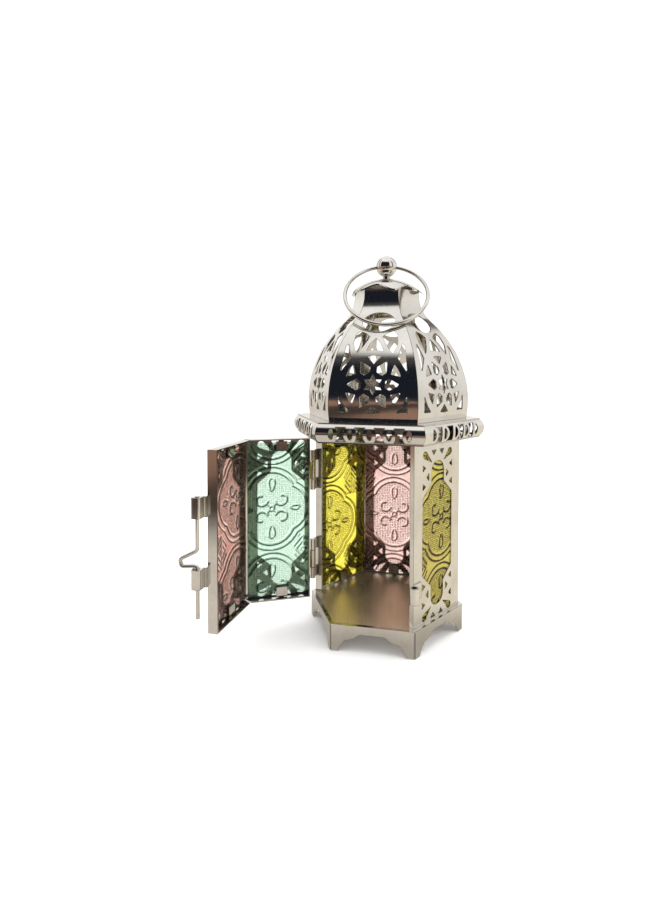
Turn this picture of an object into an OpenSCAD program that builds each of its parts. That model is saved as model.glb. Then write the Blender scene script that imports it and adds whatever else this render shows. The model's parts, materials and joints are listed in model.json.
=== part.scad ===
// Hexagonal candle lantern: pierced sheet-metal walls with pressed coloured
// glass, a folded two-panel door with a drop bolt, a turned cornice, a
// pierced six-petal dome, a scalloped cap, and a ball finial with a ring.
// Millimetres. +Z is up. The origin is the centre of the hexagon on the
// plane the feet stand on. The front facet faces -Y.

/* [Body] */
// Corner-to-centre distance of the wall hexagon, outside
wall_r = 39.6; // [39.4:0.1:39.8]
// Thickness of all the sheet metal
sheet = 0.6; // [0.5:0.05:0.7]
// Height where the walls end, under the dome plate
wall_top = 112.6; // [112.5:0.1:112.7]
// Half height of the pierced field of a wall
field_h = 42.2; // [42:0.1:42.4]

/* [Tray] */
// Corner-to-centre distance of the footed tray
tray_r = 42; // [41.5:0.1:43]
// Height of the tray's floor above the ground
tray_h = 13.4; // [13.2:0.1:13.4]

/* [Glass] */
// Width of each fixed pane
pane_w = 36.2; // [34:0.2:36.4]
// Thickness of each pane
pane_t = 2; // [1.6:0.1:2.2]

/* [Door] */
// Height of the door's lower edge
door_lo = 14.2; // [14:0.1:14.4]
// Height of the door's upper edge
door_hi = 101; // [100.8:0.1:101.4]
// Angle the door stands open
door_open = 92; // [80:1:100]
// Width of the strip left at the hinge jamb
jamb_gap = 4.8; // [4.8:0.1:5]
// Width left between the door's free edge and the far corner
latch_gap = 2.2; // [2.2:0.1:2.4]
// Depth of the door's folded flanges
flange = 5; // [4.6:0.1:5]

/* [Hinges] */
// Diameter of a hinge pin
pin_d = 1.2; // [1.2:0.1:1.4]
// Height of the middle of the upper hinge
hinge_hi = 82.5; // [80:0.5:84]
// Height of the middle of the lower hinge
hinge_lo = 32.8; // [31:0.1:34]

/* [Latch] */
// Diameter of the drop bolt
bolt_d = 1.9; // [1.7:0.1:1.9]
// Height of the bolt's lower end at rest
bolt_end = 22.2; // [22:0.1:22.4]

/* [Cornice] */
// Distance from the axis to the middle of the band's bulge
band_a = 45.3; // [45.1:0.1:45.5]
// Radius of the bulge
band_r = 5.8; // [5.6:0.1:6]
// Spacing of the rings pierced in the band
link_pitch = 9.3; // [9.2:0.05:9.35]

/* [Dome] */
// Widest distance from the axis to the middle of a petal
dome_a = 37.9; // [37.6:0.1:38]
// Height of the widest line of the dome
dome_wide_z = 122; // [121.5:0.1:122.5]
// Distance from the axis to the middle of a petal at the neck
neck_a = 15.2; // [15:0.1:15.4]
// Height of the narrowest line of the neck
neck_z = 178; // [177.5:0.1:178.4]

/* [Crown cap] */
// Radius the cap is domed to
cap_dome = 28.5; // [28.5:0.5:29]
// How far the wavy rim goes in and out
cap_wave = 2; // [1.8:0.1:2]
// Angle the cap is turned past the neck's corners
cap_turn = 8; // [0:1:12]

/* [Finial and ring] */
// Radius of the finial ball
ball_r = 5.66; // [5.4:0.02:5.7]
// Height of the ball's centre
ball_z = 193.7; // [193.6:0.1:193.8]
// Radius of the ring to the middle of its wire
ring_r = 21.4; // [21.2:0.1:22]
// Thickness of the ring's wire
ring_wire = 1.95; // [1.8:0.05:2]
// Angle the ring hangs below level, towards the front
ring_lean = 50.5; // [46:0.5:50.5]

/* [Hidden] */
$fn = 72;
c30 = cos(30);
t30 = tan(30);
wall_a = wall_r * c30;
side = wall_r / 2;
tray_a = tray_r * c30;
field_z = 56.4;
door_z = (door_lo + door_hi) / 2;
plate_z = 103.4;
band_lo = plate_z + sheet;
dome_z = wall_top + sheet;
// the dome's two arcs: centre [distance from axis, height] and radius
r1 = 60;
c1 = [dome_a - r1, dome_wide_z];
dx = neck_a - c1[0];
dz = neck_z - dome_wide_z;
r2 = (dx * dx + dz * dz - r1 * r1) / (2 * (r1 - dx));
c2 = [neck_a + r2, neck_z];
u12 = [c2[0] - c1[0], c2[1] - c1[1]] / (r1 + r2);
neck_top = 180.05;
star_z = 131.4;
// hinge axis: along the facet from the corner, and off its face
hx = -side + 2.0;
hy = -wall_a - 2.2;
hinge = [hx * cos(-60) - hy * sin(-60), hx * sin(-60) + hy * cos(-60)];
knuckle_r = 1.5;
hinge_len = 22;
// the bolt's axis with the door shut
bolt = [20.7, -37.8];
ring_turn = 9.5;

// ---------- helpers ----------
function unit(v) = v / norm(v);
function arcpts(c, r, a0, a1, n) =
  [for (i = [0:n]) let (a = a0 + (a1 - a0) * i / n) c + r * [cos(a), sin(a)]];
function wrap(a) = a > 180 ? a - 360 : a < -180 ? a + 360 : a;
// one corner of an outline, turned into a small arc of n steps
function soft(a, b, c, r, n) =
  let (u = unit(a - b), v = unit(c - b), h = acos(u * v) / 2,
       d = min(r / tan(h), 0.45 * min(norm(a - b), norm(c - b))),
       q = d * tan(h), m = b + unit(u + v) * q / sin(h),
       p1 = b + u * d - m, p2 = b + v * d - m,
       s = atan2(p1[1], p1[0]), e = wrap(atan2(p2[1], p2[0]) - s))
  [for (i = [0:n]) m + q * [cos(s + e * i / n), sin(s + e * i / n)]];
// an outline with every corner rounded; r is one radius or one per corner
function softened(p, r, n = 3) =
  let (k = len(p))
  [for (i = [0:k - 1]) each soft(p[(i + k - 1) % k], p[i], p[(i + 1) % k],
     is_list(r) ? r[i] : r, n)];
function turned(p, a) = [for (q = p)
  [q[0] * cos(a) - q[1] * sin(a), q[0] * sin(a) + q[1] * cos(a)]];
function flipx(p) = [for (q = p) [-q[0], q[1]]];
// a drop: a round head of radius r at c, drawn out to the point t
function drop(c, r, t, n = 9) =
  let (d = t - c, l = norm(d), a = atan2(d[1], d[0]), b = acos(r / l))
  concat([t], arcpts(c, r, a + b, a + 360 - b, n));

module both() { children(); mirror([1, 0]) children(); }
module four() { both() children(); mirror([0, 1]) both() children(); }
// places work drawn on the front facet onto the facet facing angle a
module facet(a) rotate([0, 0, a + 90]) children();
// stands an outline up as a plate whose outer face is ap from the axis
module upright(ap, t) translate([0, -ap, 0]) rotate([90, 0, 0])
  translate([0, 0, -t]) linear_extrude(t) children();
// one sixth of the plan, with its two mitre planes
module wedge(z0 = -1, z1 = 220, lap = 0) translate([0, lap, z0])
  linear_extrude(z1 - z0)
    polygon([[0, 0], [-60 * t30, -60], [60 * t30, -60]]);
module hex(a) rotate(30) circle(a / c30, $fn = 6);
module hex_ring(z, t, a_in, a_out) translate([0, 0, z]) linear_extrude(t)
  rotate(-30) difference() { hex(a_out); hex(a_in); }

// ---------- pierced field of a wall, centred on [0, 0] ----------
wall_window = softened([[-5.45, 36.5], [5.45, 36.5], [5.45, 25.6],
  [12.7, 19.2], [12.7, -19.2], [5.45, -25.6], [5.45, -36.5], [-5.45, -36.5],
  [-5.45, -25.6], [-12.7, -19.2], [-12.7, 19.2], [-5.45, 25.6]],
  [5.4, 5.4, 2.2, 2, 2, 2.2, 5.4, 5.4, 2.2, 2, 2, 2.2], 5);
module pierced_field() {
  polygon(wall_window);
  four() {
    polygon(softened([[12.8, 35.7], [10.1, 33.9], [12.8, 32.1]], 0.25));
    polygon(softened([[7.4, 31.5], [9.8, 29.3], [7.4, 27.1]], 0.25));
    polygon(softened([[12.8, 26.6], [10.1, 24.7], [12.8, 22.9]], 0.25));
    polygon(drop([10.8, 40.3], 1.85, [5.0, 36.2]));
    polygon(softened([[1.1, field_h], [5.5, field_h], [3.6, 39.5]], 0.25));
  }
}
// lips folded over the top and bottom edges of a pane
module pane_lips(zc, half) for (s = [-1, 1])
  translate([-3, -wall_a + sheet - 0.1, zc + s * (half + sheet / 2) - sheet / 2]) {
    cube([6, pane_t + sheet + 0.2, sheet]);
    translate([0, pane_t + 0.2, s > 0 ? sheet - 4.8 : 0])
      cube([6, sheet, 4.8]);
  }
pane_half = 41.3;
module pane(zc, x0 = -pane_w / 2, x1 = pane_w / 2)
  translate([x0, -wall_a + sheet + 0.05, zc - pane_half])
    cube([x1 - x0, pane_t, 2 * pane_half]);

// ---------- tray ----------
skirt_cut = [[-17, -1], [-17, 0], [-16.2, 2.2], [-14.8, 4.4], [-13.4, 5.7],
  [-11.2, 6.3], [-9.2, 6.9], [-7.8, 8.1], [-6.2, 9.2]];
module base_tray() color("gainsboro") {
  translate([0, 0, tray_h - sheet]) linear_extrude(sheet)
    rotate(-30) hex(tray_a);
  for (k = [0:5]) facet(60 * k + 30) upright(tray_a, sheet) difference() {
    translate([-tray_r / 2 + 0.4, 0]) square([tray_r - 0.8, tray_h - sheet / 2]);
    polygon(concat(skirt_cut, [for (i = [8:-1:0])
      [-skirt_cut[i][0], skirt_cut[i][1]]]));
  }
}

// ---------- walls ----------
// jamb: [side, depth] of the flange beside the doorway, or undef
module wall(a, jamb = undef) color("gainsboro") facet(a) {
  intersection() {
    upright(wall_a, sheet) difference() {
      translate([-side, tray_h]) square([2 * side, wall_top - tray_h]);
      translate([0, field_z]) pierced_field();
    }
    wedge();
  }
  if (jamb != undef)
    translate([jamb[0] > 0 ? side - sheet : -side, -wall_a, tray_h])
      cube([sheet, jamb[1], wall_top - tray_h]);
  pane_lips(field_z, pane_half);
}
module glass(a, c) color(c, 0.6) facet(a) pane(field_z);

// ---------- cornice ----------
module band_profile() intersection() {
  translate([band_a - band_r, (band_lo + wall_top) / 2]) difference() {
    circle(band_r, $fn = 120);
    circle(band_r - sheet, $fn = 120);
  }
  translate([band_a - band_r, band_lo]) square([20, wall_top - band_lo]);
}
// half the width of a ring at height t from its middle
function link_w(t) = 3.1 * sqrt(1 - (t / 4.5) * (t / 4.5));
module band_field() {
  for (k = [-2:1]) polygon(concat(
    [for (i = [-6:6]) [k * link_pitch + link_w(i * 0.58), i * 0.58]],
    [for (i = [6:-1:-6]) [(k + 1) * link_pitch - link_w(i * 0.58), i * 0.58]]));
  for (k = [-2:2]) translate([k * link_pitch, 0.15])
    polygon([for (i = [0:15]) [1.3 * cos(22.5 * i), 2.7 * sin(22.5 * i)]]);
}
module cornice_band() color("gainsboro") for (k = [0:5]) facet(60 * k + 30)
  intersection() {
    rotate([90, 0, -90]) translate([0, 0, -30]) linear_extrude(60)
      band_profile();
    wedge();
    rotate([90, 0, 0]) linear_extrude(70) difference() {
      translate([-40, 95]) square([80, 25]);
      translate([0, 108]) band_field();
    }
  }

// ---------- dome ----------
module petal_profile() {
  intersection() {
    translate(c1) difference() { circle(r1, $fn = 180); circle(r1 - sheet, $fn = 180); }
    polygon([[0, dome_z], [90, dome_z], c1 + 100 * u12,
      c1 - c1[0] / u12[0] * u12]);
  }
  intersection() {
    translate(c2) difference() { circle(r2 + sheet, $fn = 180); circle(r2, $fn = 180); }
    polygon([c2, c2 - 50 * u12, [-6, neck_top], [c2[0], neck_top]]);
  }
  // carries the metal across where the two arcs meet
  translate(c1 + r1 * u12) rotate(atan2(u12[1], u12[0]))
    translate([0.12 - sheet, -1]) square([sheet - 0.24, 2]);
}
star = [for (k = [0:11]) let (a = 90 + 30 * k, r = k % 2 == 0 ? 4.9 : 2.85)
  r * [cos(a), sin(a)]];
kite = softened([[5.9, -1.6], [8.1, -2.75], [13.2, 0], [8.1, 2.75],
  [5.9, 1.6]], 0.5);
spoke = softened([[9.8, 0], [13.55, -3.45], [14.1, 0], [13.55, 3.45]],
  [0.3, 0.3, 12, 0.3]);
ogive = softened([[-4.3, 16.1], [0, 16.7], [4.3, 16.1], [2.7, 19.6],
  [0, 22.6], [-2.7, 19.6]], [0.3, 9, 0.3, 6, 0.3, 6]);
vee = softened([[9.0, 14.7], [11.1, 19.8], [10.4, 24.2], [8.4, 26.2],
  [5.2, 24.9], [3.0, 23.2], [5.6, 19.0], [7.4, 16.4]],
  [0.3, 1, 1, 0.8, 1, 0.3, 3, 3]);
slit = softened([[13.2, 19.8], [14.6, 18.6], [16.3, 7.0], [15.9, 6.4],
  [11.5, 12.6]], 0.25);
corner_hole = softened([[16.8, -4.9], [14.5, -9.4], [11.1, -13.4],
  [16.8, -13.4]], [0.3, 6, 0.3, 0.3]);
vent = [for (k = [0:27]) let (a = 360 * k / 28) [8.2 * cos(a),
  30.9 + 5.1 * sin(a)]];
module petal_field() {
  polygon(star);
  for (k = [0:5]) {
    polygon(turned(kite, 60 * k));
    polygon(turned(spoke, 60 * k + 30));
  }
  polygon(ogive);
  both() { polygon(vee); polygon(slit); polygon(corner_hole); }
  polygon(vent);
}
module petal(a) color("gainsboro") facet(a) intersection() {
  rotate([90, 0, -90]) translate([0, 0, -30]) linear_extrude(60)
    petal_profile();
  wedge();
  rotate([90, 0, 0]) linear_extrude(70) difference() {
    translate([-40, 100]) square([80, 100]);
    translate([0, star_z]) petal_field();
  }
}

// ---------- crown cap ----------
finial_seat = 187;
cap_z = finial_seat - sqrt(cap_dome * cap_dome - 1.6 * 1.6);
// the wavy rim hangs lowest over the neck's corners, turned a little past them
function cap_rim(a) = 17.5 + cap_wave * cos(6 * (a + cap_turn));
module crown_cap() color("gainsboro") intersection() {
  translate([0, 0, cap_z]) difference() {
    sphere(cap_dome);
    sphere(cap_dome - sheet);
  }
  translate([0, 0, 170]) linear_extrude(30) difference() {
    polygon([for (i = [0:95]) cap_rim(3.75 * i)
      * [cos(3.75 * i), sin(3.75 * i)]]);
    circle(1.6);
  }
}

// ---------- finial and ring ----------
ring_axis_a = ring_turn;
module finial_ball() color("silver") difference() {
  union() {
    translate([0, 0, ball_z]) sphere(ball_r);
    translate([0, 0, finial_seat]) cylinder(h = 3, r = 2.05);
  }
  translate([0, 0, ball_z]) rotate([0, 0, ring_turn]) rotate([0, 90, 0])
    translate([0, 0, -10]) cylinder(h = 20, r = 1.8);
  translate([0, 0, 180]) cylinder(h = 11, r = 1.5);
}
module finial_screw() color("silver") {
  translate([0, 0, 180]) cylinder(h = 11, r = 1.5);
  translate([0, 0, finial_seat - 2.6]) cylinder(h = 1.8, r = 2.8);
}
module carry_ring() color("silver") translate([0, 0, ball_z])
  rotate([0, 0, ring_turn]) rotate([ring_lean, 0, 0])
    translate([0, -ring_r, 0]) rotate_extrude() translate([ring_r, 0])
      circle(ring_wire / 2, $fn = 32);

// ---------- hinges, drawn on the door's first facet ----------
module at_hinge(zc) translate([0, 0, zc - hinge_len / 2]) children();
module fixed_leaf(zc) color("silver") {
  at_hinge(zc) difference() {
    facet(150) union() {
      translate([13.2, -wall_a - 0.7, 0]) cube([side - 13.2, 0.7, hinge_len]);
      for (z = [0, hinge_len - 6]) translate([side - 0.1, -wall_a - 0.7, z])
        cube([2.9, 0.7, 6]);
    }
    translate([hinge[0], hinge[1], -1]) cylinder(h = hinge_len + 2, r = knuckle_r - 0.3);
  }
  at_hinge(zc) for (z = [0, hinge_len - 6]) translate([hinge[0], hinge[1], z])
    difference() {
      cylinder(h = 6, r = knuckle_r);
      translate([0, 0, -1]) cylinder(h = 8, r = pin_d / 2);
    }
}
module hinge_pin(zc) color("silver")
  translate([hinge[0], hinge[1], zc - hinge_len / 2]) cylinder(h = hinge_len, r = pin_d / 2);
module moving_leaf(zc) color("silver") doorway() at_hinge(zc) facet(210) {
  translate([-side + jamb_gap, -wall_a - 0.7, 0]) cube([2.2, 0.7, hinge_len]);
  translate([0, 0, 6.3]) linear_extrude(hinge_len - 12.6) difference() {
    union() {
      translate([hx, hy]) circle(knuckle_r);
      polygon([[hx, hy + 0.6], [hx + 1.5, hy + 0.8], [-14.6, -wall_a - 0.5],
        [-14.6, -wall_a - 0.2], [-15.9, -wall_a - 0.35], [hx + 0.2, hy + 1.35]]);
    }
    translate([hx, hy]) circle(pin_d / 2 + 0.05);
  }
}

// ---------- door, drawn shut and swung open about the hinge ----------
module doorway() translate([hinge[0], hinge[1], 0])
  rotate([0, 0, -door_open]) translate([-hinge[0], -hinge[1], 0]) children();
d_lo = door_lo - door_z;
d_hi = door_hi - door_z;
module door_panel(x0, x1) translate([0, 0, door_z]) {
  intersection() {
    upright(wall_a, sheet) difference() {
      translate([x0, d_lo]) square([x1 - x0, d_hi - d_lo]);
      pierced_field();
    }
    wedge(-60, 60);
  }
  for (z = [d_lo, d_hi - sheet]) intersection() {
    translate([x0, -wall_a, z]) cube([x1 - x0, flange, sheet]);
    translate([0, 0, -60]) linear_extrude(120) polygon([[0, -1],
      [-60 * t30, -61], [60 * t30, -61]]);
  }
}
module door_frame() color("gainsboro") doorway() {
  // carries the metal round the fold
  rotate([0, 0, -120]) translate([(wall_a - sheet / 2) / c30, 0, door_lo + 0.2])
    cylinder(h = door_hi - door_lo - 0.4, r = 0.22, $fn = 24);
  facet(210) {
    door_panel(-side + jamb_gap, side);
    translate([-side + jamb_gap, -wall_a, door_lo])
      cube([sheet, flange, door_hi - door_lo]);
    pane_lips(door_z, pane_half);
  }
  facet(270) {
    door_panel(-side, side - latch_gap);
    translate([side - latch_gap - sheet, -wall_a, door_lo])
      cube([sheet, flange, door_hi - door_lo]);
    pane_lips(door_z, pane_half);
  }
}
module door_glass(a, c, x0, x1) color(c, 0.6) doorway() facet(a)
  pane(door_z, x0, x1);

// ---------- latch ----------
module latch_bracket(z, h) color("silver") doorway() translate([0, 0, z])
  linear_extrude(h) difference() {
    union() {
      translate([13.2, -wall_a - 0.7]) square([5.4, 0.7]);
      translate([17.9, -36.6]) square([0.7, 36.6 - wall_a]);
      translate(bolt) polygon(softened([[-2.4, -2.4], [2.4, -2.4],
        [2.4, 2.4], [-2.4, 2.4]], 1.2, 4));
    }
    translate(bolt) circle(bolt_d / 2 + 0.05);
  }
module latch_keeper() color("silver") translate([0, 0, 27.6]) {
  difference() {
    union() {
      translate(bolt) cylinder(h = 7.8, r = 2.4);
      facet(-30) translate([-22.3, -wall_a - 0.7, 0]) cube([8.3, 0.7, 7.8]);
    }
    translate([bolt[0], bolt[1], -1]) cylinder(h = 12, r = 1.45);
  }
}
// a wire through the points p, bent to radius r at each inner point
module bent_wire(p, r, d) {
  n = len(p);
  seg = [for (i = [0:n - 2]) unit(p[i + 1] - p[i])];
  cr = [for (i = [0:n - 1]) i == 0 || i == n - 1 ? 0 :
    seg[i - 1][0] * seg[i][1] - seg[i - 1][1] * seg[i][0]];
  bend = [for (i = [0:n - 1]) i == 0 || i == n - 1 ? 0 :
    acos(seg[i - 1] * seg[i])];
  cut = [for (i = [0:n - 1]) r[i] * tan(bend[i] / 2)];
  for (i = [0:n - 2]) {
    a = p[i] + seg[i] * cut[i];
    l = norm(p[i + 1] - p[i]) - cut[i] - cut[i + 1];
    translate([a[0], 0, a[1]]) rotate([0, 90 - atan2(seg[i][1], seg[i][0]), 0]) {
      cylinder(h = l, r = d / 2, $fn = 32);
      // a core running a little way into the bends at each end
      translate([0, 0, i == 0 ? 1 : -0.3])
        cylinder(h = l + (i == 0 || i == n - 2 ? -0.7 : 0.6), r = d / 3, $fn = 32);
    }
  }
  for (i = [1:n - 2]) {
    s = sign(cr[i]);
    nrm = s * [-seg[i - 1][1], seg[i - 1][0]];
    c = p[i] - seg[i - 1] * cut[i] + r[i] * nrm;
    a0 = atan2(-nrm[1], -nrm[0]);
    translate([c[0], 0, c[1]]) rotate([90, 0, 0])
      rotate([0, 0, s > 0 ? a0 : a0 - bend[i]])
        rotate_extrude(angle = bend[i]) translate([r[i], 0])
          circle(d / 2, $fn = 32);
  }
}
module latch_bolt() color("silver") doorway()
  translate([bolt[0], bolt[1], 0]) rotate([0, 0, -90])
    bent_wire([[0, 79.6], [0, 54.2], [9.3, 49.4], [8.2, 46.0], [0, 46.9],
      [0, bolt_end]], [0, 2.4, 1.7, 1.5, 1.3, 0], bolt_d);

// ---------- output ----------
base_tray();
wall(-30, [-1, 2.4]);  // wall_front_right
wall(30);  // wall_back_right
wall(90);  // wall_back
wall(150, [1, 4.9]);  // wall_back_left
glass(-30, "gold");  // glass_front_right
glass(30, "seagreen");  // glass_back_right
glass(90, "lightpink");  // glass_back
glass(150, "gold");  // glass_back_left
color("gainsboro") hex_ring(plate_z, sheet, wall_a + 0.05, 43.4);  // cornice_plate
cornice_band();
color("gainsboro") hex_ring(wall_top, sheet, 33.5, 43.4);  // dome_plate
petal(-90);  // dome_petal_front
petal(-30);  // dome_petal_front_right
petal(30);  // dome_petal_back_right
petal(90);  // dome_petal_back
petal(150);  // dome_petal_back_left
petal(210);  // dome_petal_front_left
crown_cap();
finial_ball();
finial_screw();
fixed_leaf(hinge_hi);  // upper_hinge_fixed_leaf
fixed_leaf(hinge_lo);  // lower_hinge_fixed_leaf
hinge_pin(hinge_hi);  // upper_hinge_pin
hinge_pin(hinge_lo);  // lower_hinge_pin
latch_keeper();
door_frame();
door_glass(210, "seagreen", -side + jamb_gap + sheet + 0.05, pane_w / 2);  // door_glass_hinge_side
door_glass(270, "rosybrown", -pane_w / 2, side - latch_gap - sheet - 0.05);  // door_glass_latch_side
moving_leaf(hinge_hi);  // upper_hinge_door_leaf
moving_leaf(hinge_lo);  // lower_hinge_door_leaf
latch_bracket(69.5, 9.8);  // upper_latch_bracket
latch_bracket(36.3, 9.3);  // lower_latch_bracket
latch_bolt();
carry_ring();
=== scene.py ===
import json
import math

import bpy
import numpy as np
from mathutils import Matrix, Vector


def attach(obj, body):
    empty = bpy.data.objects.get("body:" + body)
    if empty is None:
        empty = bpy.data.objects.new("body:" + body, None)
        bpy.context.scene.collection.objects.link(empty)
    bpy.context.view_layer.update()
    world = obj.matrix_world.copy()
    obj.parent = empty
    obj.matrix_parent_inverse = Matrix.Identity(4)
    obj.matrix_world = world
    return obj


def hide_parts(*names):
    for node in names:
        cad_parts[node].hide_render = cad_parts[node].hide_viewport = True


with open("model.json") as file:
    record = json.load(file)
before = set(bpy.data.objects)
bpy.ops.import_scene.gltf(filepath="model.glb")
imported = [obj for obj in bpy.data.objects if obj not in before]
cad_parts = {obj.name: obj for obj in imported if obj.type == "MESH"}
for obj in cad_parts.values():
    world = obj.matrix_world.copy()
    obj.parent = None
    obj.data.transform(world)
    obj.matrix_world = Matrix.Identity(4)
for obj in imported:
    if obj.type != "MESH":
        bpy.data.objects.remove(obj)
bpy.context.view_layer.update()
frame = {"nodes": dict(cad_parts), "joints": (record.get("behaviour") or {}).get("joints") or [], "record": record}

nodes = frame["nodes"]
MM = 0.001


# ---------------------------------------------------------------- node helpers
class Net:
    """A small wrapper for building a material's node tree."""

    def __init__(self, name):
        self.mat = bpy.data.materials.new(name)
        self.mat.use_nodes = True
        self.t = self.mat.node_tree
        self.t.nodes.clear()
        self.out = self.t.nodes.new("ShaderNodeOutputMaterial")
        self.tc = self.t.nodes.new("ShaderNodeTexCoord")
        self.geo = self.t.nodes.new("ShaderNodeNewGeometry")

    def node(self, kind, **props):
        n = self.t.nodes.new(kind)
        for k, v in props.items():
            setattr(n, k, v)
        return n

    def link(self, a, b):
        self.t.links.new(a, b)

    def obj(self, scale=(1, 1, 1), rot=(0, 0, 0)):
        m = self.node("ShaderNodeMapping")
        m.inputs["Scale"].default_value = scale
        m.inputs["Rotation"].default_value = rot
        self.link(self.tc.outputs["Object"], m.inputs["Vector"])
        return m.outputs["Vector"]

    def then(self, vec, scale=(1, 1, 1), rot=(0, 0, 0)):
        m = self.node("ShaderNodeMapping")
        m.inputs["Scale"].default_value = scale
        m.inputs["Rotation"].default_value = rot
        self.link(vec, m.inputs["Vector"])
        return m.outputs["Vector"]

    def noise(self, vec, scale, detail=3, rough=0.5, distortion=0.0):
        n = self.node("ShaderNodeTexNoise")
        n.inputs["Scale"].default_value = scale
        n.inputs["Detail"].default_value = detail
        n.inputs["Roughness"].default_value = rough
        n.inputs["Distortion"].default_value = distortion
        self.link(vec, n.inputs["Vector"])
        return n.outputs["Fac"]

    def remap(self, fac, a, b, lo=0.0, hi=1.0):
        n = self.node("ShaderNodeMapRange")
        n.inputs["From Min"].default_value = lo
        n.inputs["From Max"].default_value = hi
        n.inputs["To Min"].default_value = a
        n.inputs["To Max"].default_value = b
        self.link(fac, n.inputs["Value"])
        return n.outputs["Result"]

    def ramp(self, fac, stops):
        n = self.node("ShaderNodeValToRGB")
        e = n.color_ramp.elements
        e[0].position, e[0].color = stops[0][0], (*stops[0][1], 1)
        e[1].position, e[1].color = stops[-1][0], (*stops[-1][1], 1)
        for p, c in stops[1:-1]:
            x = e.new(p)
            x.color = (*c, 1)
        self.link(fac, n.inputs["Fac"])
        return n.outputs["Color"]

    def mixc(self, fac, a, b, blend="MIX"):
        n = self.node("ShaderNodeMix", data_type="RGBA", blend_type=blend)
        for sock, v in ((n.inputs[0], fac), (n.inputs[6], a), (n.inputs[7], b)):
            if hasattr(v, "is_linked"):
                self.link(v, sock)
            else:
                sock.default_value = v if isinstance(v, float) else (*v, 1)
        return n.outputs[2]

    def math(self, op, a, b=None, clamp=False):
        n = self.node("ShaderNodeMath", operation=op, use_clamp=clamp)
        for i, v in enumerate((a, b)):
            if v is None:
                continue
            if hasattr(v, "is_linked"):
                self.link(v, n.inputs[i])
            else:
                n.inputs[i].default_value = v
        return n.outputs[0]

    def bump(self, height, distance, strength=1.0, normal=None):
        n = self.node("ShaderNodeBump")
        n.inputs["Strength"].default_value = strength
        n.inputs["Distance"].default_value = distance
        self.link(height, n.inputs["Height"])
        if normal is not None:
            self.link(normal, n.inputs["Normal"])
        return n.outputs["Normal"]

    def edge_normal(self, radius):
        n = self.node("ShaderNodeBevel", samples=4)
        n.inputs["Radius"].default_value = radius
        return n.outputs["Normal"]

    def edge_mask(self, radius, lo=0.01, hi=0.11):
        """1 along folds and cut edges, 0 on the open sheet."""
        n = self.node("ShaderNodeBevel", samples=6)
        n.inputs["Radius"].default_value = radius
        d = self.node("ShaderNodeVectorMath", operation="DOT_PRODUCT")
        self.link(n.outputs["Normal"], d.inputs[0])
        self.link(self.geo.outputs["Normal"], d.inputs[1])
        return self.remap(self.math("SUBTRACT", 1.0, d.outputs["Value"]), 0.0, 1.0, lo, hi)

    def principled(self, **vals):
        p = self.node("ShaderNodeBsdfPrincipled")
        for k, v in vals.items():
            p.inputs[k].default_value = v
        self.link(p.outputs[0], self.out.inputs["Surface"])
        return p


# ---------------------------------------------------------------- metals
def plated(name, base, dull, rough=(0.04, 0.13), wave=0.00005, wave_scale=70,
           edge=0.00012, micro=0.5, painted_edge_shade=0.72):
    """Bright nickel plate on thin sheet or wire: slow waves in the reflections,
    faint rub marks, duller patches, rounded edges that catch the light, and a
    dark outline painted along folds and cut edges as painted shade."""
    n = Net(name)
    v = n.obj()
    p = n.principled(Metallic=1.0)
    patches = n.noise(v, 55, 4, 0.6)
    spots = n.noise(v, 420, 3, 0.55)
    tone = n.ramp(patches, [(0.32, dull), (0.6, base)])
    tone = n.mixc(n.remap(spots, 0.0, 0.22, 0.55, 0.8), tone, tuple(c * 0.7 for c in base))
    # painted shade: folds and cut edges darkened towards near black as a dark outline
    if painted_edge_shade:
        tone = n.mixc(n.math("MULTIPLY", n.edge_mask(0.0005), painted_edge_shade), tone, (0.075, 0.062, 0.05))
    n.link(tone, p.inputs["Base Color"])
    rub = n.noise(n.obj((1, 1, 0.12)), 900, 2, 0.6)
    r = n.math("ADD", n.remap(patches, rough[1], rough[0], 0.3, 0.7),
               n.remap(rub, 0.0, 0.05, 0.45, 0.75))
    n.link(r, p.inputs["Roughness"])
    en = n.edge_normal(edge)
    b1 = n.bump(n.noise(v, wave_scale, 2, 0.45), wave, 1.0, en)
    b2 = n.bump(rub, 0.000003, micro, b1)
    n.link(b2, p.inputs["Normal"])
    return n.mat


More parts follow.
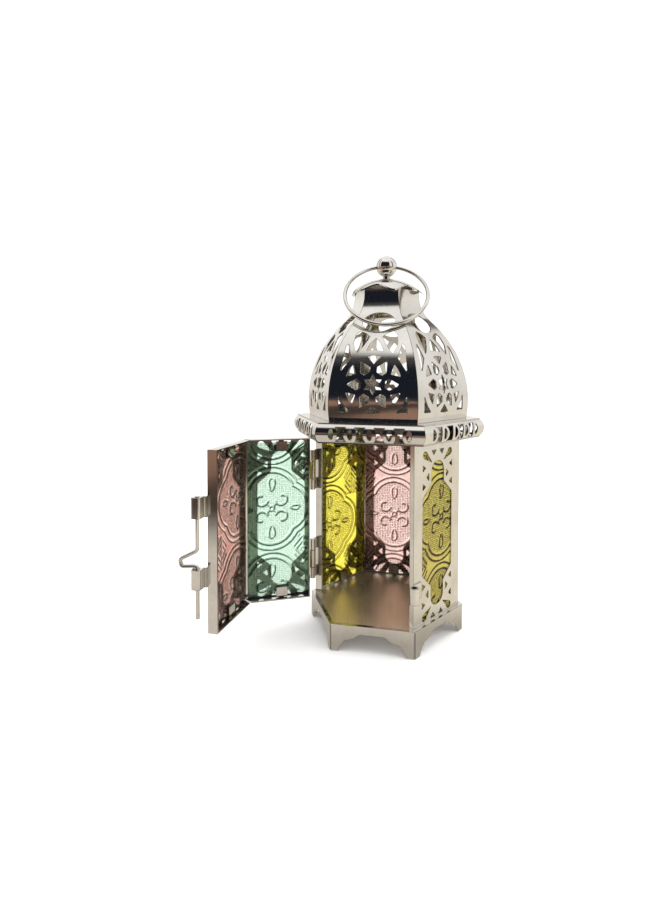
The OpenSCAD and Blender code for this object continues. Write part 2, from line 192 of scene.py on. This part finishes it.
def tray_metal(name, base, dull):
    """The tray: skirt plated like the walls; its floor rubbed along one way.
    Inside the walls the floor is painted a warm brown that stands in for the
    coloured light and reflections inside the lantern (painted light), and folds
    and cut edges carry a painted dark outline (painted shade).
    """
    n = Net(name)
    v = n.obj()
    p = n.principled(Metallic=1.0)
    sep = n.node("ShaderNodeSeparateXYZ")
    n.link(n.geo.outputs["Normal"], sep.inputs[0])
    pos = n.node("ShaderNodeSeparateXYZ")
    n.link(n.tc.outputs["Object"], pos.inputs[0])
    # painted light: top marks the tray floor inside the walls, painted warm brown for the coloured light and
    # reflections inside the lantern
    top = n.math("MULTIPLY", n.math("GREATER_THAN", sep.outputs[2], 0.6),
                 n.math("GREATER_THAN", pos.outputs[2], 0.0130))
    for deg in (30, 90, 150):
        a = math.radians(deg)
        along = n.math("ADD", n.math("MULTIPLY", pos.outputs[0], math.cos(a)),
                       n.math("MULTIPLY", pos.outputs[1], math.sin(a)))
        top = n.math("MULTIPLY", top, n.math("LESS_THAN", n.math("ABSOLUTE", along), 0.0345))
    turned = n.obj((1, 1, 1), (0, 0, math.radians(-11.95)))
    streak = n.noise(n.then(turned, (1.0, 0.045, 1)), 900, 3, 0.55)
    cloud = n.noise(n.then(turned, (1.0, 0.5, 1)), 70, 3, 0.5)
    patches = n.noise(v, 60, 4, 0.6)
    side = n.ramp(patches, [(0.3, dull), (0.62, base)])
    # painted light: the warm brown of the floor inside the walls, laid over the real rubbed streaks
    warm = n.ramp(n.math("ADD", n.math("MULTIPLY", streak, 0.35), n.math("MULTIPLY", cloud, 0.65)),
                  [(0.34, (0.70, 0.56, 0.40)), (0.66, (0.88, 0.73, 0.53))])
    tone = n.mixc(top, side, warm)
    # painted shade: a dark outline painted along folds and cut edges
    n.link(n.mixc(n.math("MULTIPLY", n.edge_mask(0.0005), 0.72), tone, (0.075, 0.062, 0.05)),
           p.inputs["Base Color"])
    r_side = n.remap(patches, 0.2, 0.09, 0.3, 0.7)
    r_top = n.remap(cloud, 0.27, 0.34, 0.3, 0.7)
    m = n.node("ShaderNodeMix", data_type="FLOAT")
    n.link(top, m.inputs[0]); n.link(r_side, m.inputs[2]); n.link(r_top, m.inputs[3])
    n.link(m.outputs[0], p.inputs["Roughness"])
    mm = n.node("ShaderNodeMix", data_type="FLOAT")
    mm.inputs[2].default_value, mm.inputs[3].default_value = 1.0, 0.82
    n.link(top, mm.inputs[0]); n.link(mm.outputs[0], p.inputs["Metallic"])
    en = n.edge_normal(0.00015)
    b1 = n.bump(n.noise(v, 60, 2, 0.4), 0.00004, 1.0, en)
    n.link(n.bump(streak, 0.0000006, 0.4, b1), p.inputs["Normal"])
    return n.mat


# ---------------------------------------------------------------- glass
def pressed_glass(name, tint, deep, body, pale, clear=0.93, ior=1.45, rough=0.05,
                  lines=(0.55, 1.4, 0.0, 0.9), prick=0.95):
    """Pressed coloured glass: clear tint in the flats, painted shade along the
    slopes and along one side of each raised line and a painted highlight along
    the other, as if lit from one fixed direction, rows of pricked dots inside
    the cartouches and a fine uneven grain everywhere."""
    n = Net(name)
    v = n.obj()
    p = n.principled(**{"Transmission Weight": clear, "IOR": ior, "Roughness": rough})
    shade = n.node("ShaderNodeAttribute", attribute_name="shade").outputs["Fac"]
    slope = n.node("ShaderNodeAttribute", attribute_name="slope").outputs["Fac"]
    ground = n.node("ShaderNodeAttribute", attribute_name="ground").outputs["Fac"]
    flat = n.node("ShaderNodeAttribute", attribute_name="flat").outputs["Vector"]
    cloud = n.noise(v, 130, 3, 0.5)
    grain = n.noise(v, 1500, 2, 0.6)
    c = n.mixc(n.remap(cloud, 0.0, 0.35, 0.35, 0.75), tint, body)
    c = n.mixc(n.remap(grain, 0.0, 0.34, 0.42, 0.72), c, deep)
    c = n.mixc(n.remap(grain, 0.30, 0.0, 0.25, 0.46), c, pale)
    dots = n.node("ShaderNodeTexVoronoi", feature="F1", voronoi_dimensions="2D")
    dots.inputs["Scale"].default_value = 1.0
    dots.inputs["Randomness"].default_value = 0.32
    n.link(flat, dots.inputs["Vector"])
    pit = n.math("MULTIPLY", n.remap(dots.outputs["Distance"], 1.0, 0.0, 0.26, 0.42), ground)
    c = n.mixc(n.math("MULTIPLY", ground, 0.45), c, pale)
    c = n.mixc(n.math("MULTIPLY", pit, prick), c, deep)
    # painted shade: deep colour on the slopes and on the side of each raised line turned from the fixed light;
    # painted highlight: pale colour on the side turned to it (lines = slope_deep, shade_deep, slope_pale,
    # shade_pale)
    c = n.mixc(n.math("ADD", n.math("MULTIPLY", slope, lines[0]),
                      n.math("MULTIPLY", shade, lines[1]), True), c, deep)
    c = n.mixc(n.math("SUBTRACT", n.math("MULTIPLY", slope, lines[2]),
                      n.math("MULTIPLY", shade, lines[3]), True), c, pale)
    n.link(c, p.inputs["Base Color"])
    b1 = n.bump(cloud, 0.00008, 1.0)
    b2 = n.bump(grain, 0.00004, 1.0, b1)
    b3 = n.bump(pit, 0.0002, 1.0, b2)
    n.link(b3, p.inputs["Normal"])
    return n.mat


NICKEL = (0.72, 0.70, 0.665)
M = {
    "sheet_metal": plated("nickel_sheet", NICKEL, (0.63, 0.608, 0.57)),
    "turned_metal": plated("nickel_turned", (0.74, 0.72, 0.69), (0.66, 0.64, 0.60),
                           rough=(0.03, 0.09), wave=0.00002, wave_scale=160),
    "hardware_metal": plated("nickel_hardware", (0.72, 0.70, 0.665), (0.58, 0.56, 0.52),
                             rough=(0.05, 0.15), wave=0.00002, wave_scale=240),
    "tray_metal": tray_metal("nickel_tray", (0.69, 0.67, 0.63), (0.60, 0.575, 0.535)),
    "glass_yellow": pressed_glass("glass_yellow", (0.97, 0.86, 0.115), (0.035, 0.015, 0.001),
                                  (0.90, 0.75, 0.055), (0.92, 0.82, 0.13), 0.90,
                                  lines=(0.9, 1.6, 0.0, 0.9)),
    # painted reflection: a brighter, more diffuse copy of the yellow glass for the front pane, standing in for
    # light reflected off its outer face, with stronger painted shade on the raised lines
    "glass_yellow_front": pressed_glass("glass_yellow_front", (1.0, 0.85, 0.19), (0.03, 0.012, 0.002),
                                        (0.97, 0.74, 0.09), (1.0, 0.88, 0.22), 0.66, 1.35,
                                        lines=(1.1, 1.8, 0.0, 1.0)),
    "glass_rose": pressed_glass("glass_rose", (0.76, 0.52, 0.455), (0.06, 0.011, 0.010),
                                (0.68, 0.40, 0.35), (0.90, 0.78, 0.72), 0.93),
    # painted light: a darker, shaded copy of the rose glass for the door pane, with painted pale highlights along
    # the raised lines
    "glass_rose_painted_shade": pressed_glass("glass_rose_painted_shade", (0.52, 0.24, 0.19), (0.018, 0.003, 0.003),
                                     (0.43, 0.17, 0.13), (0.95, 0.76, 0.66), 0.96,
                                     lines=(0.1, 1.6, 0.8, 1.0)),
    "glass_green": pressed_glass("glass_green", (0.51, 0.70, 0.55), (0.005, 0.03, 0.015),
                                 (0.43, 0.63, 0.48), (0.76, 0.90, 0.80), 0.97, prick=0.6),
    "glass_green_back": pressed_glass("glass_green_back", (0.64, 0.76, 0.56), (0.02, 0.06, 0.02),
                                      (0.56, 0.68, 0.48), (0.84, 0.92, 0.80), 0.95, 1.4),
}
slots = {s["node"]: s["material_slot"] for s in frame["record"]["subparts"]}
for name, ob in nodes.items():
    m = M[slots[name]]
    if not ob.material_slots:
        ob.data.materials.append(m)
    for s in ob.material_slots:
        s.material = m


# ---------------------------------------------------------------- pressed relief
PITCH = 46.5


def ridge(d, w):
    return np.exp(-((d / w) ** 2))


def step(x, a, b):
    t = np.clip((x - a) / (b - a), 0, 1)
    return t * t * (3 - 2 * t)


def relief(x, z):
    """Height (0 to about 1) and stippled ground of the pressed pattern, from
    millimetres across and up the pane. A barbed quatrefoil repeats up the
    pane with a small ring, drops and scrolls inside it."""
    q = np.mod(z + PITCH / 2, PITCH) - PITCH / 2
    x = np.mod(x + 22, 44) - 22
    d = np.minimum(np.hypot(x, np.abs(q) - 7.3) - 12.3, np.hypot(np.abs(x) - 6.7, q) - 12.6)
    h = ridge(d, 0.5) + 0.9 * ridge(d - 2.85, 0.45)
    ground = step(-d, 0.9, 1.4)
    r = np.hypot(x, q)
    marks = ridge(r - 1.2, 0.4)
    arm = ridge((np.abs(x) - np.abs(q)) / 1.414, 0.36) * step(r, 1.4, 1.9) * (1 - step(r, 3.6, 4.4))
    marks = np.maximum(marks, 0.9 * arm)
    # drops above, below and to the sides
    for u, w, c0, length, half_w in ((q, x, 12.8, 3.3, 1.5), (x, q, 12.6, 2.4, 1.1)):
        v = np.abs(u) - c0
        t = np.clip(v / length, -1, 1)
        wide = half_w * np.sqrt(np.clip(1 - t * t, 0.0, 1)) * (1 + 0.3 * t)
        e = np.where(np.abs(v) < length, np.abs(np.abs(w) - wide), np.hypot(w, np.abs(v) - length))
        marks = np.maximum(marks, ridge(e, 0.42))
    # four scrolls that spring from the ring and curl outward
    for s in (1, -1):
        for t in (1, -1):
            cx, cz = 5.4 * t, 4.9 * s
            px, pz = (x - cx) * t, (q - cz) * s
            rr = np.hypot(px, pz) + 1e-6
            ang = np.degrees(np.arctan2(pz, px))
            turn = np.mod(ang - 195, 360)
            curl = 3.5 - 1.9 * (turn / 290) ** 1.5
            keep = 1 - step(turn, 262, 282)
            marks = np.maximum(marks, 1.1 * ridge(rr - curl, 0.46) * keep)
    h = np.maximum(h, marks)
    # a leafy sprig in each spandrel: an upright stem and long slanting veins
    lx, lz = np.abs(x) - 17.2, np.abs(q) - PITCH / 2
    u = np.mod(lz - 1.15 * np.abs(lx), 3.1) - 1.55
    veins = ridge(u * 0.66, 0.42) * (1 - step(np.abs(lx), 4.6, 5.6))
    sprig = np.maximum(veins, ridge(lx, 0.45)) * (1 - step(np.abs(lz), 7.6, 8.8))
    h = np.maximum(h, 0.85 * sprig * step(d, 4.2, 4.9))
    return np.clip(h, 0, 1.15), ground


def pane(name, node, turn, zc, body, slot, at, hinge_turn=0.0, x0=-18.1, x1=18.1, look=None,
         lit=(0.6, 0.8), outer=0.45):
    """A pane whose room-side face carries the relief, in place of the plain
    slab. turn is the facet's angle about the axis; zc is its middle height; at
    is where the cut sheet's pattern falls on this pane. lit is the fixed light
    direction from which shade and highlight are painted on the raised lines."""
    k = 0.28
    half = 41.3
    nx, nz = 2 * int(round((x1 - x0) / k / 2)) + 1, 2 * int(round(half / k)) + 1
    xs, zs = np.linspace(x0, x1, nx), np.linspace(-half, half, nz)
    X, Z = np.meshgrid(xs, zs)
    h, ground = relief(X - at[0], Z - at[1])
    back, face, top = -33.62, -32.30, -31.68
    edge = np.minimum.reduce([X - x0, x1 - X, Z + half, half - Z])
    h = h * step(edge, 0.0, 0.5)
    Y = face + (top - face) * h / 1.15
    Y = np.where(edge < 0.01, face - 0.25, Y)
    # painted light for the glass: shade is the slope towards the fixed direction lit (painted shade on one side of
    # each raised line, painted highlight on the other); slope darkens both sides as painted shade
    gz, gx = np.gradient(Y, zs, xs)
    shade = np.clip((gx * lit[0] + gz * lit[1]) / 0.42, -1, 1)
    slope = np.clip(np.hypot(gx, gz) / 0.5, 0, 1)
    shade[edge < 0.4] = 0
    slope[edge < 0.4] = 0
    co = np.stack([X, Y, Z], -1).reshape(-1, 3)
    n = len(co)
    idx = np.arange(n).reshape(nz, nx)
    quads = np.stack([idx[:-1, :-1], idx[1:, :-1], idx[1:, 1:], idx[:-1, 1:]], -1).reshape(-1, 4)
    # the outer face, flat and half as finely divided
    bco = np.stack([X[::2, ::2], np.full_like(X[::2, ::2], back), Z[::2, ::2]], -1).reshape(-1, 3)
    bz, bx = X[::2, ::2].shape
    bidx = n + np.arange(len(bco)).reshape(bz, bx)
    bquads = np.stack([bidx[:-1, :-1], bidx[:-1, 1:], bidx[1:, 1:], bidx[1:, :-1]], -1).reshape(-1, 4)
    verts = np.vstack([co, bco])

    def loop(g):
        return np.concatenate([g[0, :], g[1:, -1], g[-1, -2::-1], g[-2:0:-1, 0]])

    rim, brim = loop(idx), loop(bidx)
    m = len(brim)
    side = [(int(rim[2 * i]), int(rim[2 * i + 1]), int(rim[(2 * i + 2) % (2 * m)]),
             int(brim[(i + 1) % m]), int(brim[i])) for i in range(m)]
    a = math.radians(turn + 90)
    V = verts.copy()
    V[:, 0] = verts[:, 0] * math.cos(a) - verts[:, 1] * math.sin(a)
    V[:, 1] = verts[:, 0] * math.sin(a) + verts[:, 1] * math.cos(a)
    V[:, 2] += zc
    if hinge_turn:
        hx, hy = HINGE
        t = math.radians(hinge_turn)
        dx, dy = V[:, 0] - hx, V[:, 1] - hy
        V[:, 0] = hx + dx * math.cos(t) - dy * math.sin(t)
        V[:, 1] = hy + dx * math.sin(t) + dy * math.cos(t)
    faces = [tuple(f) for f in quads.tolist()] + [tuple(f) for f in bquads.tolist()] + side
    me = bpy.data.meshes.new(name)
    me.from_pydata([tuple(v) for v in (V * MM).tolist()], [], faces)
    me.update()
    import bmesh
    bm = bmesh.new()
    bm.from_mesh(me)
    bmesh.ops.recalc_face_normals(bm, faces=bm.faces)
    bm.to_mesh(me)
    bm.free()
    k = len(quads)
    me.polygons.foreach_set("use_smooth", [i < k for i in range(len(me.polygons))])
    for key, arr, far in (("shade", shade, outer), ("slope", slope, outer),
                          ("ground", ground, outer if outer > 0.9 else 0.0)):
        att = me.attributes.new(key, "FLOAT", "POINT")
        data = np.concatenate([arr.ravel(), far * arr[::2, ::2].ravel()]).astype(np.float32)
        att.data.foreach_set("value", data)
    att = me.attributes.new("flat", "FLOAT_VECTOR", "POINT")
    data = np.zeros((len(verts), 3), np.float32)
    data[:, 0], data[:, 1] = verts[:, 0] / 1.02, verts[:, 2] / 1.02
    att.data.foreach_set("vector", data.ravel())
    ob = bpy.data.objects.new(name, me)
    bpy.context.scene.collection.objects.link(ob)
    me.materials.append(M[look or slot])
    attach(ob, body)
    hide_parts(node)
    return ob


hinge_joint = [j for j in frame["joints"] if j["name"] == "door_hinge"][0]
HINGE = (hinge_joint["pos_m"][0] / MM, hinge_joint["pos_m"][1] / MM)
OPEN = -92.0
pane("pane_front_right", "glass_front_right", -30, 56.4, "lantern", "glass_yellow", (4.0, 7.5),
     look="glass_yellow_front", lit=(-0.6, 0.8), outer=1.0)
pane("pane_back_right", "glass_back_right", 30, 56.4, "lantern", "glass_green", (-3.0, 10.0),
     look="glass_green_back")
pane("pane_back", "glass_back", 90, 56.4, "lantern", "glass_rose", (0.2, -5.6))
pane("pane_back_left", "glass_back_left", 150, 56.4, "lantern", "glass_yellow", (11.0, -6.7))
pane("pane_door_hinge_side", "door_glass_hinge_side", 210, 57.6, "door", "glass_green",
     (5.4, 5.9), OPEN, -14.35, 18.1)
pane("pane_door_latch_side", "door_glass_latch_side", 270, 57.6, "door", "glass_rose",
     (-8.8, 15.2), OPEN, -18.1, 16.95, "glass_rose_painted_shade")


# ---------------------------------------------------------------- studio
def plane(name, size, loc, aim=None, col=(0.9, 0.9, 0.9), emit=0.0):
    bpy.ops.mesh.primitive_plane_add(size=1, location=loc)
    ob = bpy.context.object
    ob.name = name
    ob.scale = (size[0], size[1], 1)
    if aim is not None:
        ob.rotation_euler = (Vector(aim) - Vector(loc)).to_track_quat("Z", "Y").to_euler()
    m = bpy.data.materials.new(name)
    m.use_nodes = True
    bs = m.node_tree.nodes["Principled BSDF"]
    bs.inputs["Base Color"].default_value = (*col, 1)
    bs.inputs["Roughness"].default_value = 0.9
    if emit:
        bs.inputs["Emission Color"].default_value = (*col, 1)
        bs.inputs["Emission Strength"].default_value = emit
    ob.data.materials.append(m)
    return ob


floor = plane("floor", (14, 14), (0, 0, -0.0001), col=(0.95, 0.95, 0.95))

# the room: seen directly it is white; what the metal mirrors is a softer room,
# bright overhead, cream low down, with a dark side behind the camera and four
# narrow dark gaps between the lights that draw lines on beads and wire
world = bpy.data.worlds.new("studio")
bpy.context.scene.world = world
world.use_nodes = True
world.cycles.sampling_method = "NONE"
wt = world.node_tree
wt.nodes.clear()


def wnode(kind, **props):
    n = wt.nodes.new(kind)
    for k, v in props.items():
        setattr(n, k, v)
    return n


def wmath(op, a, b=None):
    n = wnode("ShaderNodeMath", operation=op)
    for i, v in enumerate((a, b)):
        if v is None:
            continue
        if hasattr(v, "is_linked"):
            wt.links.new(v, n.inputs[i])
        else:
            n.inputs[i].default_value = v
    return n.outputs[0]


def wsmooth(v, a, b):
    """0 where v is at a, 1 where it is at b, smooth between."""
    n = wnode("ShaderNodeMapRange", interpolation_type="SMOOTHSTEP")
    n.inputs["From Min"].default_value = a
    n.inputs["From Max"].default_value = b
    wt.links.new(v, n.inputs["Value"])
    return n.outputs["Result"]


def wmix(fac, a, b):
    n = wnode("ShaderNodeMix", data_type="RGBA")
    wt.links.new(fac, n.inputs[0])
    for sock, v in ((n.inputs[6], a), (n.inputs[7], b)):
        if hasattr(v, "is_linked"):
            wt.links.new(v, sock)
        else:
            sock.default_value = (*v, 1)
    return n.outputs[2]


w_tc = wnode("ShaderNodeTexCoord")
w_sep = wnode("ShaderNodeSeparateXYZ")
wt.links.new(w_tc.outputs["Generated"], w_sep.inputs[0])
az = wmath("MULTIPLY", wmath("ARCTAN2", w_sep.outputs[1], w_sep.outputs[0]), 180 / math.pi)
el = wmath("MULTIPLY", wmath("ARCSINE", w_sep.outputs[2]), 180 / math.pi)
w_ramp = wnode("ShaderNodeValToRGB")
stops = [(-90, (0.55, 0.51, 0.45)), (-4, (0.70, 0.66, 0.58)), (4, (0.80, 0.775, 0.725)),
         (14, (0.90, 0.885, 0.85)), (35, (0.80, 0.79, 0.765)), (60, (0.98, 0.98, 0.965)), (90, (0.90, 0.90, 0.90))]
e = w_ramp.color_ramp.elements
e[0].position, e[0].color = 0.0, (*stops[0][1], 1)
e[1].position, e[1].color = 1.0, (*stops[-1][1], 1)
for deg, col in stops[1:-1]:
    x = e.new((deg + 90) / 180)
    x.color = (*col, 1)
wt.links.new(wmath("ADD", wmath("DIVIDE", el, 180.0), 0.5), w_ramp.inputs["Fac"])
sky = w_ramp.outputs["Color"]


def band(centre, half, edge, lo, hi, soft_lo, soft_hi):
    """A patch of the room by bearing and height, with soft edges."""
    d = wmath("ABSOLUTE", wmath("SUBTRACT", az, centre))
    f = wmath("MULTIPLY", wsmooth(d, half + edge, half), wsmooth(el, lo - soft_lo, lo))
    return wmath("MULTIPLY", f, wsmooth(el, hi + soft_hi, hi))


for c, h in ((-9, 5), (64, 6), (148, 6), (-168, 4)):
    sky = wmix(wmath("MULTIPLY", band(c, h, 4, -30, 48, 4, 10), 0.86), sky, (0.05, 0.048, 0.045))
sky = wmix(band(-97, 46, 7, -60, 43, 4, 8), sky, (0.06, 0.058, 0.06))
sky = wmix(band(-97, 45, 7, 3, 32, 4, 10), sky, (0.012, 0.014, 0.022))
w_see = wnode("ShaderNodeBackground")
w_see.inputs[0].default_value = (1, 1, 1, 1)
w_see.inputs[1].default_value = 1.15
w_mir = wnode("ShaderNodeBackground")
w_mir.inputs[1].default_value = 1.2
wt.links.new(sky, w_mir.inputs[0])
w_lp = wnode("ShaderNodeLightPath")
w_gl = wnode("ShaderNodeMixShader")
wt.links.new(wmath("GREATER_THAN", w_lp.outputs["Glossy Depth"], 0.5), w_gl.inputs[0])
wt.links.new(w_see.outputs[0], w_gl.inputs[1])
wt.links.new(w_mir.outputs[0], w_gl.inputs[2])
wt.links.new(w_gl.outputs[0], wnode("ShaderNodeOutputWorld").inputs["Surface"])

# the table as the metal mirrors it: cream close by, warm brown further to the front, and a painted contact shadow
# close around the base
near = plane("near_table", (14.0, 14.0), (0, 0, 0.0004))
near.visible_camera = False
near.visible_diffuse = False
near.visible_shadow = False
tab = Net("near_table")
ts = tab.node("ShaderNodeSeparateXYZ")
tab.link(tab.geo.outputs["Position"], ts.inputs[0])


def tsmooth(v, a, b):
    n = tab.node("ShaderNodeMapRange", interpolation_type="SMOOTHSTEP")
    n.inputs["From Min"].default_value = a
    n.inputs["From Max"].default_value = b
    tab.link(v, n.inputs["Value"])
    return n.outputs["Result"]


cream = tab.mixc(tsmooth(ts.outputs[0], 0.0, 0.10), (0.66, 0.61, 0.54), (0.82, 0.755, 0.625))
cream = tab.mixc(tsmooth(ts.outputs[0], 0.35, 0.9), cream, (0.80, 0.77, 0.70))
brown = tab.mixc(tsmooth(ts.outputs[0], -0.13, -0.06), (0.06, 0.045, 0.037), (0.30, 0.175, 0.125))
brown = tab.mixc(tsmooth(ts.outputs[0], -0.26, -0.34), brown, (0.30, 0.175, 0.125))
# painted shadow: the mirrored table is darkened close around the base, standing in for the lantern's contact
# shadow
r_in = tab.math("SQRT", tab.math("ADD", tab.math("MULTIPLY", ts.outputs[0], ts.outputs[0]),
                                 tab.math("MULTIPLY", ts.outputs[1], ts.outputs[1])))
painted_contact_shadow = tsmooth(r_in, 0.072, 0.044)
far = tab.math("MULTIPLY", tsmooth(ts.outputs[0], 0.0, 0.06), tsmooth(ts.outputs[0], 0.45, 0.3))
brown = tab.mixc(far, brown, (0.055, 0.042, 0.036))
em = tab.node("ShaderNodeEmission")
em.inputs["Strength"].default_value = 1.2
away = tab.math("ADD", ts.outputs[1], tab.math("MULTIPLY", tsmooth(ts.outputs[0], -0.17, -0.09), 0.07))
floor_c = tab.mixc(tsmooth(away, -0.17, -0.31), cream, brown)
tab.link(tab.mixc(tab.math("MULTIPLY", painted_contact_shadow, 0.42), floor_c, (0.10, 0.085, 0.075)), em.inputs["Color"])
clear = tab.node("ShaderNodeBsdfTransparent")
path = tab.node("ShaderNodeLightPath")
pick = tab.node("ShaderNodeMixShader")
tab.link(tab.math("GREATER_THAN", path.outputs["Glossy Depth"], 0.5), pick.inputs[0])
tab.link(clear.outputs[0], pick.inputs[1])
tab.link(em.outputs[0], pick.inputs[2])
tab.link(pick.outputs[0], tab.out.inputs["Surface"])
near.data.materials.clear()
near.data.materials.append(tab.mat)


def softbox(name, loc, size, power):
    li = bpy.data.lights.new(name, "AREA")
    li.shape = "RECTANGLE"
    li.size, li.size_y = size
    li.energy = power
    ob = bpy.data.objects.new(name, li)
    ob.location = loc
    ob.rotation_euler = (Vector((0, 0, 0.09)) - Vector(loc)).to_track_quat("-Z", "Y").to_euler()
    bpy.context.scene.collection.objects.link(ob)
    ob.visible_camera = False
    ob.visible_glossy = False
    return ob


softbox("top", (0.05, 0.05, 1.1), (0.9, 0.9), 7)
softbox("right", (0.95, -0.15, 0.55), (0.7, 0.9), 4)
softbox("left", (-0.95, -0.25, 0.6), (0.7, 0.9), 3)

# ---------------------------------------------------------------- camera
cam_data = bpy.data.cameras.new("camera")
cam = bpy.data.objects.new("camera", cam_data)
bpy.context.scene.collection.objects.link(cam)
bpy.context.scene.camera = cam
cam_data.sensor_width = 36
cam_data.sensor_fit = "AUTO"
cam_data.lens = 547.47 / 913 * 36
cam_data.shift_x = (335 - 365.2) / 913
cam_data.shift_y = (382.2 - 456.5) / 913
cam_data.clip_start, cam_data.clip_end = 0.01, 50
yaw, pitch, roll = math.radians(11.95), math.radians(1.81), math.radians(0.24)
fwd = Vector((-math.sin(yaw) * math.cos(pitch), math.cos(yaw) * math.cos(pitch), -math.sin(pitch)))
q = fwd.to_track_quat("-Z", "Y")
cam.rotation_mode = "QUATERNION"
cam.rotation_quaternion = q @ Matrix.Rotation(roll, 3, "Z").to_quaternion()
cam.location = (0.0505, -0.2930, 0.1408)
cam_data.dof.use_dof = False

bpy.context.scene.view_settings.view_transform = "Standard"
bpy.context.scene.view_settings.look = "None"
bpy.context.scene.view_settings.exposure = 0.0
